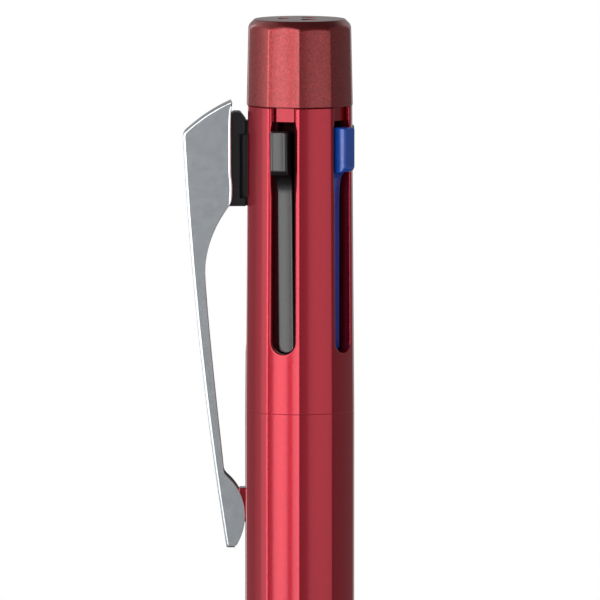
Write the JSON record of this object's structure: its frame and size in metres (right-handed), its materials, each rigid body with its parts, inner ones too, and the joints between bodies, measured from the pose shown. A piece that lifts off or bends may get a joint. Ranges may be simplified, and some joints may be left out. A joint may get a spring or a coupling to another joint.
{
  "type": "multicolour pen",
  "caption": "Ten-sided ballpoint pen with sliding ink colours, a pencil worked by its sliding lever clip, a pull-off crown over an eraser, a ribbed grip and a steel nose.",
  "frame": {"origin": "on the pen's axis, in the plane of the nose's mouth", "axes": "+Z along the axis towards the crown; -X towards the clip; the edge between two flats faces -Y"},
  "size_m": [0.0197, 0.014, 0.148],
  "materials": {
    "barrel_red": "metallic lacquer",
    "crown_red": "fine matte",
    "grip_rubber": "matte",
    "clip_steel": "satin",
    "nose_metal": "satin",
    "spring_steel": "drawn wire",
    "brass": "turned",
    "tip_metal": "turned",
    "black_plastic": "moulded satin",
    "blue_plastic": "moulded satin",
    "green_plastic": "moulded satin",
    "red_plastic": "moulded satin",
    "black_ink": "tube filled with ink",
    "blue_ink": "tube filled with ink",
    "green_ink": "tube filled with ink",
    "red_ink": "tube filled with ink",
    "natural_plastic": "natural",
    "eraser_rubber": "matte",
    "graphite": "drawn"
  },
  "bodies": {
    "barrel": {"rear_barrel": "barrel_red", "stop_ring": "barrel_red", "slider_guide": "black_plastic", "spring_seat": "black_plastic", "eraser_holder": "natural_plastic", "eraser": "eraser_rubber", "black_return_spring": "spring_steel", "blue_return_spring": "spring_steel", "green_return_spring": "spring_steel", "red_return_spring": "spring_steel", "pencil_return_spring": "spring_steel"},
    "crown": {"crown": "crown_red"},
    "front": {"front_barrel": "barrel_red", "grip": "grip_rubber", "nose_cone": "nose_metal"},
    "black_pen": {"black_slider": "black_plastic", "black_refill_tube": "black_ink", "black_refill_tip": "tip_metal"},
    "blue_pen": {"blue_slider": "blue_plastic", "blue_refill_tube": "blue_ink", "blue_refill_tip": "tip_metal"},
    "green_pen": {"green_slider": "green_plastic", "green_refill_tube": "green_ink", "green_refill_tip": "tip_metal"},
    "red_pen": {"red_slider": "red_plastic", "red_refill_tube": "red_ink", "red_refill_tip": "tip_metal"},
    "pencil": {"clip_base": "black_plastic", "clip_pin": "spring_steel", "pencil_tube": "natural_plastic", "pencil_tip": "tip_metal", "pencil_chuck": "brass", "clutch_ring": "brass", "chuck_spring": "spring_steel", "lead": "graphite"},
    "clip_arm": {"clip": "clip_steel", "clip_spring": "spring_steel"}
  },
  "joints": [
    {"name": "black_slide", "type": "slide", "parent": "barrel", "child": "black_pen", "axis": [0, 0, -1], "range_m": [0, 0.016], "stiffness_N_per_m": 40, "springref_m": -0.02, "deforming": ["black_return_spring"]},
    {"name": "blue_slide", "type": "slide", "parent": "barrel", "child": "blue_pen", "axis": [0, 0, -1], "range_m": [0, 0.016], "stiffness_N_per_m": 40, "springref_m": -0.02, "deforming": ["blue_return_spring"]},
    {"name": "green_slide", "type": "slide", "parent": "barrel", "child": "green_pen", "axis": [0, 0, -1], "range_m": [0, 0.016], "stiffness_N_per_m": 40, "springref_m": -0.02, "deforming": ["green_return_spring"]},
    {"name": "red_slide", "type": "slide", "parent": "barrel", "child": "red_pen", "axis": [0, 0, -1], "range_m": [0, 0.016], "stiffness_N_per_m": 40, "springref_m": -0.02, "deforming": ["red_return_spring"]},
    {"name": "clip_slide", "type": "slide", "parent": "barrel", "child": "pencil", "axis": [0, 0, -1], "range_m": [0, 0.016], "stiffness_N_per_m": 40, "springref_m": -0.02, "deforming": ["pencil_return_spring"]},
    {"name": "clip_tilt", "type": "hinge", "parent": "pencil", "child": "clip_arm", "pos_m": [-0.0096, 0, 0.1305], "axis": [0, 1, 0], "range_deg": [0, 9], "stiffness_Nm_per_rad": 0.3, "springref_deg": -20.05},
    {"name": "crown_pull", "type": "slide", "parent": "barrel", "child": "crown", "axis": [0, 0, 1], "range_m": [0, 0.01]},
    {"name": "front_pull", "type": "slide", "parent": "barrel", "child": "front", "axis": [0, 0, -1], "range_m": [0, 0.0095]}
  ]
}
